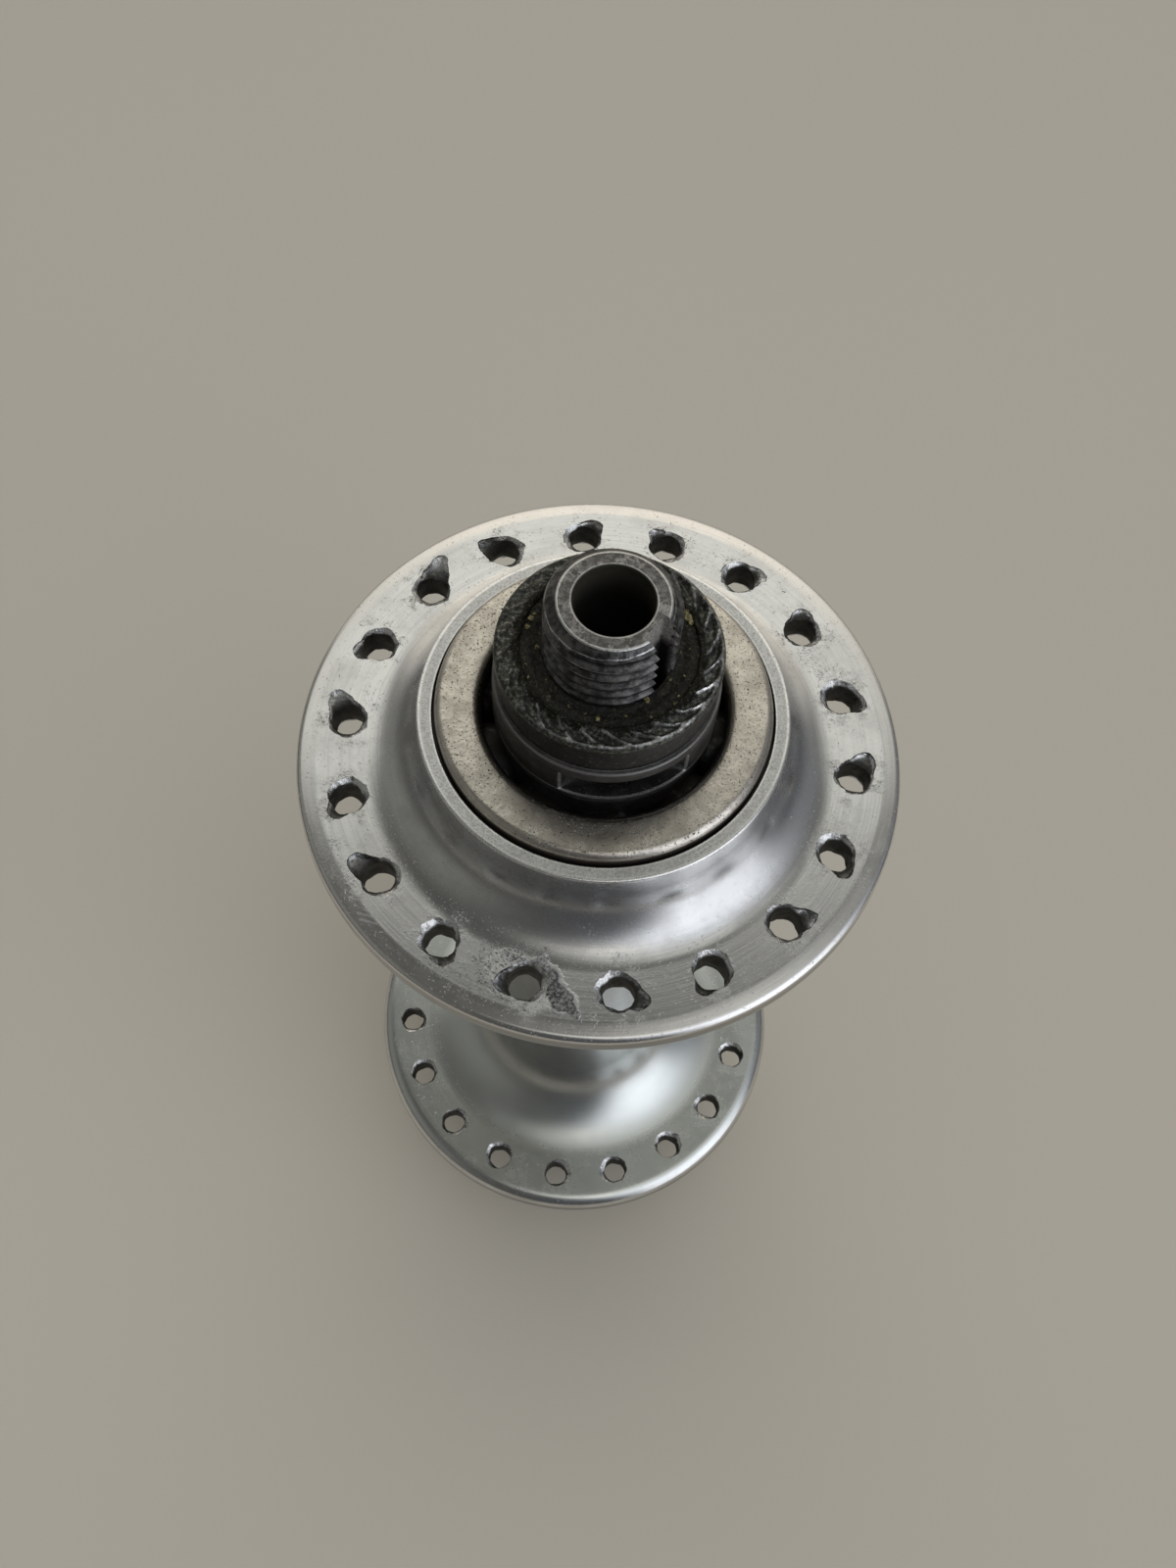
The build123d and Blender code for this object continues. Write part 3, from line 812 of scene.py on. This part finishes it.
def cap_finish():
    nodes, place = finish_nodes("blotchy_nickel")
    radius, angle, z = about_axle(place)
    marks = lathe_marks(nodes, angle, radius, 6.0, 2.0)
    clouds, stains, specks = nodes.noises(place, (0.5, 7.0, 0.66), (1.6, 6.0, 0.72), (6.5, 3.0, 0.6))
    # Painted shade: darker towards the hole, standing in for the dark cone and locknut that the cap mirrors
    # there
    cap_hole_shade = (radius + (clouds - 0.5) * 1.2).step(10.0, 8.8)
    # Painted shade: the cap's side wall, down in the gap inside the shell's mouth, is painted nearly black
    wall = abs(z).step(CAP_FACE_Z - 0.34, CAP_FACE_Z - 0.62)
    shoulder = radius.step(CAP_R - 0.7, CAP_R - 0.3) * (1 - wall)
    pits = specks.step(0.6, 0.68) * stains.step(0.36, 0.52)
    colour = nodes.layered(
        (0.66, 0.62, 0.552, 1),
        ((0.48, 0.444, 0.394, 1), clouds.step(0.4, 0.64)),
        ((0.36, 0.333, 0.285, 1), stains.step(0.5, 0.68) * 0.5),
        ((0.3, 0.28, 0.245, 1), specks.step(0.52, 0.62) * 0.28),
        (grey(0.6, 0.05), shoulder * 0.3),
        ((0.05, 0.042, 0.033, 1), (pits + cap_hole_shade * 0.4 + wall * 0.9).held()))
    rough = 0.22 + clouds * 0.12 + stains.step(0.5, 0.7) * 0.1 + pits * 0.2 + wall * 0.3
    return finish_with(nodes, colour, rough, 1.0,
                       bumps=((marks, 0.005), (clouds, 0.04), (stains, 0.02), (pits, -0.03)))


def black_finish(name, shade, edge, sheen, corner_r=NO_CORNER, gloss=0.5):
    """Black steel of cones, washers and locknuts, worn bright on its edges, olive with grease inside.
    Its bright edges are partly a painted highlight, stronger on the side towards the window.
    """
    nodes, place = finish_nodes(name)
    radius, angle, z = about_axle(place)
    x, y, _ = place.parts()
    marks = lathe_marks(nodes, angle, radius + z, 7.0, 2.0)
    clouds, nicks, fine = nodes.noises(place, (0.6, 5.0, 0.65), (3.4, 5.0, 0.72), (9.0, 3.0, 0.65))
    # Painted highlight: a bright line along the cone's lip below its flats, whose edge has no bevel to catch
    # the light
    lip = abs(abs(z) - CONE_FLATS_Z).step(0.16, 0.03) * radius.step(*CONE_LIP_R)
    corner = radius.step(corner_r - 0.22, corner_r - 0.08) * 0.6
    # Painted highlight: the bright edges are painted stronger on the side towards the window, at the right
    # and front
    lit_side = 0.3 + 0.7 * (x * 0.8 - y * 0.6).step(-6.0, 5.0)
    bright_edges = ((nodes.wear() + lip + corner) * (0.25 + nicks * 1.5) - 0.28).step(0.0, 0.75) * lit_side
    scuffed = nicks.step(0.56, 0.7) * 0.1
    nut_face = abs(z).step(NUT_TOP_Z - 0.66, NUT_TOP_Z - 0.5)
    grimy = ((radius + (clouds - 0.5) * 1.6 + (nicks - 0.5) * 0.8).step(6.75, 6.3)
             * abs(z).step(NUT_TOP_Z - 0.7, NUT_TOP_Z - 0.5))
    nut_colour = nodes.mixed((0.032, 0.033, 0.028, 1), (0.14, 0.142, 0.128, 1), nicks.step(0.44, 0.64))
    grime_colour = nodes.mixed((0.005, 0.0048, 0.0034, 1), (0.06, 0.058, 0.04, 1),
                               fine.step(0.5, 0.62) * nicks.step(0.44, 0.58))
    colour = nodes.layered(
        grey(shade, 0.05),
        (grey(shade * 2.3, 0.07), clouds.step(0.42, 0.7)),
        (nut_colour, nut_face),
        (grey(edge), (bright_edges + scuffed).held()),
        (grime_colour, grimy))
    rough = sheen + clouds * 0.16 + nicks * 0.08 - bright_edges * 0.05 + grimy * 0.2
    metal = ((0.2 + bright_edges * 0.65 + nut_face * 0.45) * (1 - grimy * 0.9)).held()
    return finish_with(nodes, colour, rough, metal, gloss,
                       bumps=((marks, 0.005), (nicks, 0.03), (fine * (0.2 + grimy), 0.05)))


def axle_finish():
    nodes, place = finish_nodes("mottled_axle_steel")
    radius, _, z = about_axle(place)
    mottle, fine, blots = nodes.noises(place, (1.25, 6.0, 0.68), (5.0, 4.0, 0.65), (2.7, 5.0, 0.62))
    end_face = abs(z).step(AXLE_END_Z - 0.2, AXLE_END_Z - 0.03)
    # Painted shade: the thread's roots are painted nearly black below the axle's end
    thread_root_shade = radius.step(AXLE_R - 0.2, AXLE_R - 0.5) * (1 - abs(z).step(AXLE_END_Z - 0.9, AXLE_END_Z - 0.6))
    end_colour = nodes.layered(
        grey(0.1, 0.04),
        (nodes.mixed(grey(0.16), grey(0.33), mottle.step(0.42, 0.6)),
         (blots * 0.8 + fine * 0.2).step(0.43, 0.54)),
        (grey(0.06, 0.04), fine.step(0.53, 0.62) * 0.75))
    bright_edges = (nodes.wear() * (0.02 + mottle * 0.7 + fine * 1.0)).step(0.32, 0.85)
    # Painted shade: the bore is painted dark, darker the deeper it goes
    inside = radius.step(AXLE_BORE_R + 0.15, AXLE_BORE_R + 0.02)
    bore_shade = nodes.mixed((0.05, 0.047, 0.035, 1), (0.01, 0.009, 0.006, 1),
                       abs(z).step(AXLE_END_Z - 0.6, AXLE_END_Z - 3.5))
    colour = nodes.layered(
        grey(0.05),
        (grey(0.17, 0.01), mottle.step(0.4, 0.62)),
        ((0.012, 0.011, 0.009, 1), thread_root_shade * 0.9),
        (end_colour, end_face),
        (grey(0.75), bright_edges * (0.8 - 0.15 * end_face)),
        (bore_shade, inside))
    rough = 0.3 + mottle * 0.18 - bright_edges * 0.1 + inside * 0.3 + thread_root_shade * 0.2
    return finish_with(nodes, colour, rough, 1 - inside * 0.6, bumps=((mottle, 0.05), (fine, 0.015)))


def keyway_finish():
    nodes, place = finish_nodes("keyway_steel_with_painted_shade")
    radius, _, z = about_axle(place)
    mottle, fine = nodes.noises(place, (2.4, 5.0, 0.7), (7.0, 3.0, 0.6))
    # Painted shade: the keyway is painted black further down, below its lighter top
    deep = ((AXLE_END_Z - abs(z) + (mottle - 0.5) * 1.6).step(1.8, 3.2)
            * radius.step(AXLE_R + 0.1, AXLE_R - 0.75))
    tips = radius.step(AXLE_R - 0.34, AXLE_R - 0.08) * (0.3 + 0.7 * fine.step(0.4, 0.56))
    colour = nodes.layered(
        grey(0.14, 0.08), (grey(0.4, 0.04), fine.step(0.38, 0.6)), ((0.008, 0.007, 0.006, 1), deep),
        (grey(0.6), tips))
    return finish_with(nodes, colour, 0.38 + mottle * 0.2, 0.1, bumps=((mottle, 0.1), (fine, 0.03)))


def bearing_finish():
    nodes, place = finish_nodes("bearing_steel_under_grease_and_shade")
    film, fine = nodes.noises(place, (0.8, 5.0, 0.6), (4.0, 3.0, 0.6))
    # Most of the steel is painted nearly black: a film of grease, and painted shade for the dark gap where
    # the balls show
    grease_and_shade = film.step(0.2, 0.45)
    colour = nodes.mixed(grey(0.2), (0.008, 0.007, 0.005, 1), grease_and_shade)
    return finish_with(nodes, colour, 0.3 + grease_and_shade * 0.25, 1 - grease_and_shade * 0.8,
                       bumps=((film, 0.05), (fine, 0.01)))


def grease_finish():
    nodes, place = finish_nodes("dried_grease")
    lumps, fine, grain = nodes.noises(place, (2.2, 6.0, 0.7), (4.6, 4.0, 0.7), (7.5, 3.0, 0.6))
    colour = nodes.layered(
        (0.003, 0.0028, 0.002, 1),
        ((0.017, 0.0165, 0.012, 1), lumps.step(0.42, 0.58)),
        ((0.075, 0.072, 0.048, 1), grain.step(0.52, 0.62) * fine.step(0.44, 0.56) * 0.9),
        ((0.002, 0.002, 0.0015, 1), grain.step(0.46, 0.38) * 0.8),
        ((0.19, 0.165, 0.075, 1), fine.step(0.62, 0.68) * lumps.step(0.46, 0.58) * 0.6))
    return finish_with(nodes, colour, 0.5 + fine * 0.3, bumps=((lumps, 0.3), (fine, 0.16), (grain, 0.09)))


def speck_finish():
    nodes, place = finish_nodes("yellow_grease_speck")
    tint, grain = nodes.noises(place, (4.0, 4.0, 0.55), (13.0, 3.0, 0.65))
    colour = nodes.layered(
        (0.05, 0.043, 0.018, 1),
        ((0.22, 0.19, 0.085, 1), tint.step(0.38, 0.6)),
        ((0.5, 0.46, 0.28, 1), grain.step(0.54, 0.66) * 0.7))
    return finish_with(nodes, colour, 0.6 + tint * 0.2, bumps=((tint, 0.1), (grain, 0.1)))


def floor_finish():
    nodes, place = finish_nodes("plain_pale_floor")
    drift = nodes.noise(place, 0.004, 2.0, 0.55)
    colour = nodes.mixed((0.47, 0.44, 0.38, 1), (0.5, 0.47, 0.41, 1), drift)
    return finish_with(nodes, colour, 0.75 + drift * 0.05)


# Pieces
def shell_outline():
    """Rows of their own keep a flange's faces flat beside its curves."""
    flare_centre = (FLARE_END_R, FLANGE_INNER_Z - FLARE_R)
    flare = arc(flare_centre, FLARE_R, 90 + FLARE_SWEEP, 90, 26)
    tilt = 90 - FLARE_SWEEP
    barrel_arc_r = (flare[0][0] - BARREL_R) / (1 - math.cos(math.radians(tilt)))
    barrel_foot_z = flare[0][1] - barrel_arc_r * math.sin(math.radians(tilt))
    barrel = arc((BARREL_R + barrel_arc_r, barrel_foot_z), barrel_arc_r, 180, 180 - tilt, 8)
    crown = math.radians(RIM_CROWN_SLOPE)
    corner_r = FLANGE_R - RIM_CORNER_R - 0.04
    crown_drop = (corner_r + RIM_CORNER_R * math.sin(crown) - RIM_CROWN_R) * math.tan(crown)
    corner_z = FLANGE_OUTER_Z - crown_drop - RIM_CORNER_R * math.cos(crown)
    rim = (arc((FLANGE_R - RIM_R, FLANGE_Z), RIM_R, -90, 0, 14)
           + arc((corner_r, corner_z), RIM_CORNER_R, 0, 90 - RIM_CROWN_SLOPE, 12)
           + [(RIM_CROWN_R + 0.1, FLANGE_OUTER_Z - 0.1 * math.tan(crown)),
              (RIM_CROWN_R - 0.05, FLANGE_OUTER_Z)])
    fillet = arc((BOSS_FOOT_R + BOSS_FILLET_R, FLANGE_OUTER_Z + BOSS_FILLET_R), BOSS_FILLET_R, 270, 180, 24)
    mouth_floor = BOSS_TOP - MOUTH_DEPTH
    boss = [(BOSS_R, BOSS_TOP, 0.14), (MOUTH_R, BOSS_TOP, 0.08), (MOUTH_R, mouth_floor),
            (CAP_R + 0.02, mouth_floor), (CAP_R + 0.02, CAP_FOOT_Z), (CUP_R, CAP_FOOT_Z),
            (CUP_R, CUP_FLOOR_Z), (BARREL_BORE_R, CUP_FLOOR_Z)]
    inner_face = [(r, FLANGE_INNER_Z) for r in INNER_FACE_ROWS]
    outer_face = [(r, FLANGE_OUTER_Z) for r in OUTER_FACE_ROWS]
    return both_halves([(BARREL_R, 0.6)] + barrel + flare[1:] + inner_face + rim + outer_face + fillet + boss)


def cap_outline():
    shoulder = (CAP_R - CAP_SHOULDER_R, CAP_FACE_Z - CAP_SHOULDER_R)
    under = CAP_FACE_Z - CAP_SHEET
    lip = (CAP_HOLE_R + CAP_SHEET, under)
    inner_corner = (CAP_R - CAP_SHEET - CAP_INNER_SHOULDER_R, under - CAP_INNER_SHOULDER_R)
    return ([(CAP_R, CAP_FOOT_Z)] + arc(shoulder, CAP_SHOULDER_R, 0, 90, 12)
            + [(CAP_FACE_ROWS[0], CAP_FACE_Z - 0.01), (CAP_FACE_ROWS[1], CAP_FACE_Z)]
            + arc(lip, CAP_SHEET, 90, 180, 10) + [(CAP_HOLE_R, CAP_LIP_Z, 0.06), (lip[0], CAP_LIP_Z), lip]
            + arc(inner_corner, CAP_INNER_SHOULDER_R, 90, 0, 4) + [(CAP_R - CAP_SHEET, CAP_FOOT_Z)])


def cone_outline():
    return [(AXLE_R, CONE_NOSE_Z), (CONE_NOSE_R, CONE_NOSE_Z), *CONE_RACE, (CONE_NECK_R, CONE_NECK_Z),
            (CONE_NECK_R, CONE_HEAD_Z - 0.3), (CONE_R - 0.15, CONE_HEAD_Z),
            (CONE_R, CONE_HEAD_Z + 0.12), (CONE_R, CONE_TOP_Z), (AXLE_R, CONE_TOP_Z)]


def washer_outline():
    return [(AXLE_R + 0.1, CONE_TOP_Z), (WASHER_R, CONE_TOP_Z), (WASHER_R, WASHER_TOP_Z, 0.1),
            (AXLE_R + 0.1, WASHER_TOP_Z)]


def nut_outline():
    face_width = NUT_DISC_R - 0.4 - NUT_RECESS_R
    face = [(NUT_RECESS_R + face_width * (NUT_FACE_ROWS - row) / NUT_FACE_ROWS, NUT_TOP_Z)
            for row in range(NUT_FACE_ROWS)]
    falls = ((0.0, 0.5), (0.0, 0.38), (0.03, 0.26), (0.12, 0.14), (0.24, 0.05))
    bevel = [(NUT_DISC_R - inward, NUT_TOP_Z - fall) for inward, fall in falls]
    recess_floor = NUT_TOP_Z - NUT_RECESS_DEPTH
    return ([(AXLE_R, WASHER_TOP_Z), (NUT_R, WASHER_TOP_Z, 0.08), (NUT_R, NUT_DISC_Z),
             (NUT_DISC_R, NUT_DISC_Z)] + bevel + face
            + [(NUT_RECESS_R - 0.08, NUT_TOP_Z - 0.12), (NUT_RECESS_R - 0.4, recess_floor),
               (AXLE_R + 0.5, recess_floor), (AXLE_R, recess_floor - 0.5)])


def axle_outline():
    """Rows lie close together where the thread shows, past each locknut's recess."""
    length = AXLE_END_Z - THREAD_FOOT_Z
    rows = round(length * THREAD_ROWS_PER_TURN / THREAD_PITCH)
    threaded = []
    for row in range(rows):
        z = THREAD_FOOT_Z + length * row / rows
        chamfer = AXLE_END_R + (AXLE_END_Z - z) * (AXLE_R - AXLE_END_R) / AXLE_CHAMFER_H
        threaded.append((min(AXLE_R, chamfer), z))
    return both_halves([(AXLE_R - 0.33, 0.5), (AXLE_R - 0.33, THREAD_FOOT_Z - 0.4)] + threaded
                       + [(AXLE_END_R, AXLE_END_Z, 0.07), (AXLE_BORE_R, AXLE_END_Z, 0.1)])


def grease_outline():
    inside_r = AXLE_R - 0.3
    low, high = NUT_TOP_Z - 1.2, NUT_TOP_Z - 0.66
    crown = [(inside_r + (GREASE_R - AXLE_R + 0.3) * row / GREASE_ROWS,
              high + 0.42 * (row / GREASE_ROWS) ** 2 + 0.08 * math.sin(row))
             for row in range(GREASE_ROWS + 1)]
    return [(inside_r, low), *crown, (GREASE_R, low)]


turning = turning_tree()
aluminium = shell_finish()
hole_darkening = hole_finish()
nickel = cap_finish()
cone_black = black_finish("black_cone_steel", 0.022, 0.45, 0.2)
washer_black = black_finish("grey_black_washer_steel", 0.028, 0.22, 0.28)
nut_black = black_finish("black_locknut_steel", 0.009, 0.9, 0.18, gloss=0.14)
cone_flat_black = black_finish("black_cone_flat", 0.009, 0.5, 0.14, CONE_R)
nut_flat_black = black_finish("black_locknut_flat", 0.01, 0.45, 0.24, NUT_R, gloss=0.2)
axle_steel = axle_finish()
keyway_steel = keyway_finish()
bearing_steel = bearing_finish()
grease = grease_finish()
speck = speck_finish()


def turned(name, corners, finish, steps=STEPS_ROUND):
    """A piece made from its outline, whose points hold their wear."""
    points = broken_edges(corners)
    mesh = bpy.data.meshes.new(name)
    mesh.from_pydata([(p.x * MM, 0, p.y * MM) for p, _ in points], [], [])
    wear = mesh.attributes.new("wear", "FLOAT", "POINT")
    wear.data.foreach_set("value", [w for _, w in points])
    piece = placed(name, mesh)
    shaped_by(piece, turning, steps_round=steps, finish=finish)
    return piece


def mill(piece, distance, low, high, turn, finish, cut_finish, width=20.0, cuts=2):
    """Cuts spanner flats or a keyway, each so far from the axle, between two heights."""
    shaped_by(piece, milling_tree(), cuts=cuts, distance=distance * MM, depth=3 * MM, width=width * MM,
              low=low * MM, high=high * MM, turn=math.radians(turn), finish=finish, cut_finish=cut_finish)


def make_shell():
    shell = turned("drilled_shell", shell_outline(), aluminium)
    shaped_by(shell, drilling_tree(), circle_radius=SPOKE_CIRCLE_R * MM, holes=SPOKE_HOLES,
              hole_radius=HOLE_R * MM, mouth=HOLE_MOUTH * MM, flange_height=FLANGE_Z * MM,
              flange_thickness=FLANGE_THICKNESS * MM, upper_turn=math.radians(UPPER_TURN),
              lower_turn=math.radians(LOWER_TURN), groove_radius=GROOVE_R * MM, seed=7,
              finish=aluminium, hole_finish=hole_darkening)
    settle(made_plain(shell), "shell_set", "hub_shell")


def make_caps():
    cap = turned("pressed_cap_upper", cap_outline(), nickel)
    settle_ends(made_plain(cap), "shell_set", "dust_cap")


def make_cones():
    cone = turned("flatted_cone_upper", cone_outline(), cone_black)
    mill(cone, CONE_FLATS / 2, CONE_FLATS_Z, CONE_TOP_Z + 1, CONE_FLAT_ANGLE, cone_black, cone_flat_black)
    settle_ends(made_plain(cone), "axle_set", "cone")


def make_washers():
    washer = turned("thin_washer_upper", washer_outline(), washer_black)
    settle_ends(made_plain(washer), "axle_set", "keyed_washer")


def make_locknuts():
    nut = turned("serrated_locknut_upper", nut_outline(), nut_black,
                 SERRATIONS * STEPS_PER_SERRATION)
    shaped_by(nut, serration_tree(), teeth=SERRATIONS, depth=SERRATION_DEPTH * MM, slant=SERRATION_SLANT,
              inner_radius=NUT_RECESS_R * MM, outer_radius=NUT_DISC_R * MM, face_height=NUT_TOP_Z * MM,
              finish=nut_black)
    mill(nut, NUT_FLATS / 2, WASHER_TOP_Z - 0.5, NUT_DISC_Z, NUT_FLAT_ANGLE, nut_black, nut_flat_black)
    settle_ends(made_plain(nut), "axle_set", "locknut")


def make_axle():
    axle = turned("threaded_axle", axle_outline(), axle_steel, THREAD_STEPS_ROUND)
    shaped_by(axle, thread_tree(), pitch=THREAD_PITCH * MM, depth=THREAD_DEPTH * MM,
              crest_radius=AXLE_R * MM, from_height=THREAD_FOOT_Z * MM, finish=axle_steel)
    for side in (1, -1):
        low, high = sorted((side * KEYWAY_FOOT_Z, side * (AXLE_END_Z + 1)))
        mill(axle, KEYWAY_FLOOR_R, low, high, KEYWAY_ANGLE, axle_steel, keyway_steel, KEYWAY_WIDTH, cuts=1)
    settle(made_plain(axle), "axle_set", "axle")


def make_grease():
    ring = turned("grease_ring_upper", grease_outline(), grease, GREASE_STEPS_ROUND)
    shaped_by(ring, grease_tree(), lump=0.6 * MM, specks=420000.0, speck_radius=0.13 * MM,
              low=(NUT_TOP_Z - 1.0) * MM, crust_height=(NUT_TOP_Z - 0.26) * MM, seed=3,
              finish=grease, speck_finish=speck)
    settle_ends(made_plain(ring), "axle_set")


def dress_bearings():
    """Cups and balls keep their CAD shape and get the bearing steel, darkened by grease and painted shade."""
    for name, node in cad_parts.items():
        if name.startswith(("bearing_cup", "ball")):
            node.data.materials.clear()
            node.data.materials.append(bearing_steel)


make_shell()
make_caps()
make_cones()
make_washers()
make_locknuts()
make_axle()
make_grease()
dress_bearings()


# Floor, light and camera
def make_floor():
    size = 0.45
    height = cad_box[0].z
    mesh = bpy.data.meshes.new("floor")
    mesh.from_pydata([(-size, -size, height), (size, -size, height), (size, size, height),
                      (-size, size, height)], [], [(0, 1, 2, 3)])
    mesh.materials.append(floor_finish())
    placed("floor", mesh)


def make_soft_top_light():
    """A broad soft light overhead, which the polished metal doesn't mirror."""
    lamp = bpy.data.lights.new("soft_top_light", "AREA")
    lamp.shape = "SQUARE"
    lamp.size = 0.7
    lamp.energy = 1.8
    holder = placed("soft_top_light", lamp)
    holder.location = (0, 0, 0.7)
    holder.visible_glossy = False


def make_world():
    """A soft room: a bright ceiling and a cream wall behind the hub, a tall window at its right, else dim."""
    world = bpy.data.worlds.new("soft_room")
    bpy.context.scene.world = world
    nodes = fresh_nodes(world)
    x, y, z = nodes.add("ShaderNodeTexCoord", out="Generated").parts()
    towards = x * 0.84 - y * 0.54
    beside = x * 0.54 + y * 0.84
    window = (towards.step(-0.05, 0.16) * abs(beside + 0.02).step(0.55, 0.2) * z.step(-0.5, -0.25)
              * (0.7 + 0.7 * towards.step(0.3, 0.7)))
    ceiling = ((y - x.at_least(0.0) * 0.2).step(0.29, 0.43) * z.step(0.48, 0.85)
               * (1 - x.step(0.2, 0.6) * 0.3))
    wall = y.step(0.6, 0.75) * z.step(-0.5, 0.5) * (1 - x.step(0.2, 0.8) * 0.3)
    glow = abs(y + 0.4).step(0.15, 0.03) * x.step(0.02, 0.1) * x.step(0.26, 0.16) * z.step(0.5, 0.7)
    sides = abs(x).step(0.3, 0.85) * z.step(-0.1, 0.35)
    colour = nodes.layered((1.0, 1.0, 0.925, 1), ((0.92, 0.95, 1.0, 1), towards.step(0.1, 0.5)),
                           ((1.0, 0.93, 0.81, 1), (wall + glow).held()))
    level = 0.08 + window + ceiling * 0.86 + wall * 0.8 + glow * 0.6 + sides * 0.13
    surface = nodes.add("ShaderNodeBackground", {}, {"Color": colour, "Strength": level})
    nodes.add("ShaderNodeOutputWorld", {"target": "ALL"}, {"Surface": surface})


def make_camera():
    """Stands where the photograph was taken, over the hub's near side."""
    target = Vector((0, 0, 34.77)) * MM
    distance = 105.88 * MM
    elevation, pan, tilt, roll = 62.75, 0.36, -1.39, -5.45
    aimed = Matrix.Rotation(math.radians(90 - elevation), 3, "X")
    camera = placed("camera", bpy.data.cameras.new("camera"))
    camera.location = target + aimed @ Vector((0, 0, distance))
    for axis, angle in (("Y", pan), ("X", tilt), ("Z", -roll)):
        aimed = aimed @ Matrix.Rotation(math.radians(angle), 3, axis)
    camera.rotation_mode = "QUATERNION"
    camera.rotation_quaternion = aimed.to_quaternion()
    camera.data.sensor_width = 36
    camera.data.lens = 32.18
    camera.data.clip_start = 0.005
    camera.data.clip_end = 20
    bpy.context.scene.camera = camera


make_floor()
make_world()
make_soft_top_light()
make_camera()

scene = bpy.context.scene
scene.view_settings.view_transform = "Standard"
